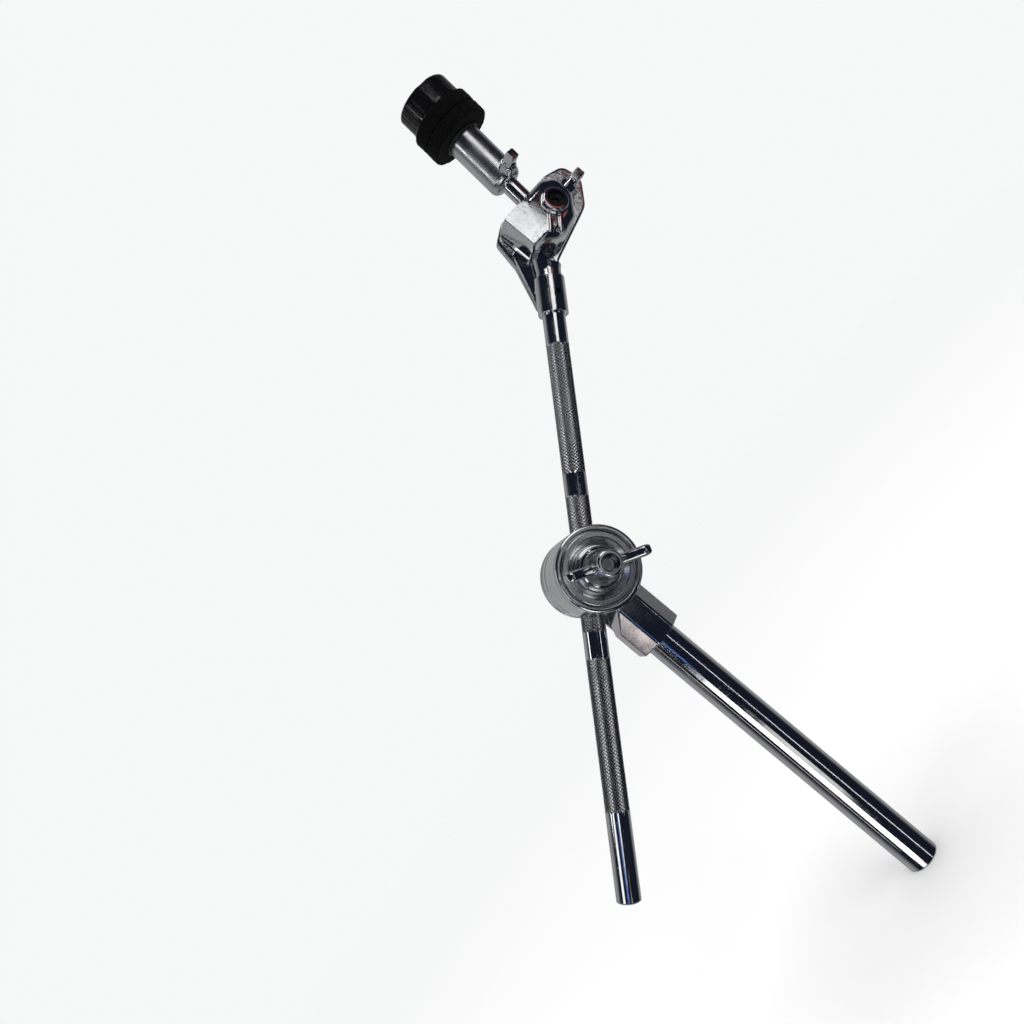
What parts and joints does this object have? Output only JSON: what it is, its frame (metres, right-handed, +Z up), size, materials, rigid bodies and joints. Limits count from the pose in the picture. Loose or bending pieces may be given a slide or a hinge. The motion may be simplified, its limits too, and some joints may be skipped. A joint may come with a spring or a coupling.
{
  "type": "cymbal boom arm",
  "caption": "Chrome boom arm for one cymbal: knurled rod in a round tilting clamp on a post tube, with a key-locked tilter, felts and a black grip nut.",
  "frame": {"origin": "centre of the lower end of the post tube", "axes": "+Z up along the post tube, +X towards the side the boom leans to, -Y towards the wing nut"},
  "size_m": [0.2932, 0.0819, 0.4674],
  "materials": {
    "tube_chrome": "polished chrome tube",
    "cast_chrome": "chrome over a cast body",
    "rod_chrome": "chrome, knurled in bands",
    "turned_chrome": "turned and chromed",
    "zinc_steel": "zinc plated steel",
    "dark_steel": "blackened steel",
    "brake_fibre": "pressed friction fibre",
    "brake_brass": "turned brass",
    "black_nylon": "moulded nylon",
    "black_felt": "pressed wool felt",
    "gloss_nut": "glossy moulded plastic"
  },
  "bodies": {
    "post": {"post_tube": "tube_chrome", "tube_bracket": "cast_chrome", "bracket_pin": "dark_steel", "brake_ring": "brake_fibre", "rear_washer": "zinc_steel", "rear_lock_nut": "zinc_steel"},
    "clamp": {"clamp_body": "cast_chrome", "clamp_cap": "cast_chrome", "pressure_plate": "turned_chrome", "eye_bolt": "zinc_steel", "clamp_spring": "zinc_steel"},
    "wing_slider": {"wing_washer": "turned_chrome"},
    "wing_nut": {"clamp_wing_nut": "turned_chrome"},
    "grip": {"rod_grip": "black_nylon"},
    "boom": {"boom_rod": "rod_chrome", "tilter_base": "cast_chrome", "neck_pin": "dark_steel", "pivot_bolt": "dark_steel", "pivot_lock_nut": "zinc_steel", "friction_disc": "brake_fibre"},
    "head": {"tilter_head": "cast_chrome", "brake_pad": "brake_brass", "spindle": "turned_chrome"},
    "tilt_key": {"tilt_key_screw": "turned_chrome"},
    "seat": {"seat_sleeve": "turned_chrome", "spindle_bush": "black_nylon"},
    "seat_key": {"seat_key_screw": "turned_chrome"},
    "felt_low": {"lower_felt": "black_felt"},
    "felt_high": {"upper_felt": "black_felt"},
    "nut_slider": {"nut_washer": "zinc_steel"},
    "nut": {"top_nut": "gloss_nut"}
  },
  "joints": [
    {"name": "boom_tilt", "type": "hinge", "parent": "post", "child": "clamp", "pos_m": [0, -0.004, 0.23], "axis": [0, 1, 0], "range_deg": [-10, 70]},
    {"name": "boom_roll", "type": "hinge", "parent": "clamp", "child": "grip", "pos_m": [0, -0.004, 0.23], "axis": [0.6947, 0, 0.7193], "continuous": true},
    {"name": "boom_slide", "type": "slide", "parent": "grip", "child": "boom", "axis": [0.6947, 0, 0.7193], "range_m": [-0.09, 0.12]},
    {"name": "cymbal_tilt", "type": "hinge", "parent": "boom", "child": "head", "pos_m": [0.14555, -0.004, 0.37151], "axis": [0, 1, 0], "range_deg": [-50, 120]},
    {"name": "tilt_key_turn", "type": "hinge", "parent": "head", "child": "tilt_key", "pos_m": [0.14555, -0.008, 0.37351], "axis": [1, 0, 0], "range_deg": [0, 360]},
    {"name": "seat_height", "type": "slide", "parent": "head", "child": "seat", "axis": [0.0872, 0, 0.9962], "range_m": [-0.009, 0]},
    {"name": "seat_key_turn", "type": "hinge", "parent": "seat", "child": "seat_key", "pos_m": [0.13987, -0.0075, 0.40292], "axis": [0.173, -0.9848, -0.0151], "range_deg": [0, 360]},
    {"name": "lower_felt_turn", "type": "hinge", "parent": "seat", "child": "felt_low", "pos_m": [0.13718, -0.0075, 0.37224], "axis": [0.0872, 0, 0.9962], "continuous": true},
    {"name": "upper_felt_turn", "type": "hinge", "parent": "seat", "child": "felt_high", "pos_m": [0.13718, -0.0075, 0.37224], "axis": [0.0872, 0, 0.9962], "continuous": true},
    {"name": "nut_travel", "type": "slide", "parent": "head", "child": "nut_slider", "axis": [0.0872, 0, 0.9962], "range_m": [0, 0.00876]},
    {"name": "nut_turn", "type": "hinge", "parent": "nut_slider", "child": "nut", "pos_m": [0.13718, -0.0075, 0.37224], "axis": [0.0872, 0, 0.9962], "range_deg": [0, 2520]},
    {"name": "wing_travel", "type": "slide", "parent": "clamp", "child": "wing_slider", "axis": [0, -1, 0], "range_m": [0, 0.00313]},
    {"name": "wing_turn", "type": "hinge", "parent": "wing_slider", "child": "wing_nut", "pos_m": [0, -0.004, 0.23], "axis": [0, -1, 0], "range_deg": [0, 900]}
  ],
  "couplings": [
    {"joint": "nut_travel", "follows": "nut_turn", "m_per_rad": 0.00019894},
    {"joint": "wing_travel", "follows": "wing_turn", "m_per_rad": 0.00019894}
  ]
}
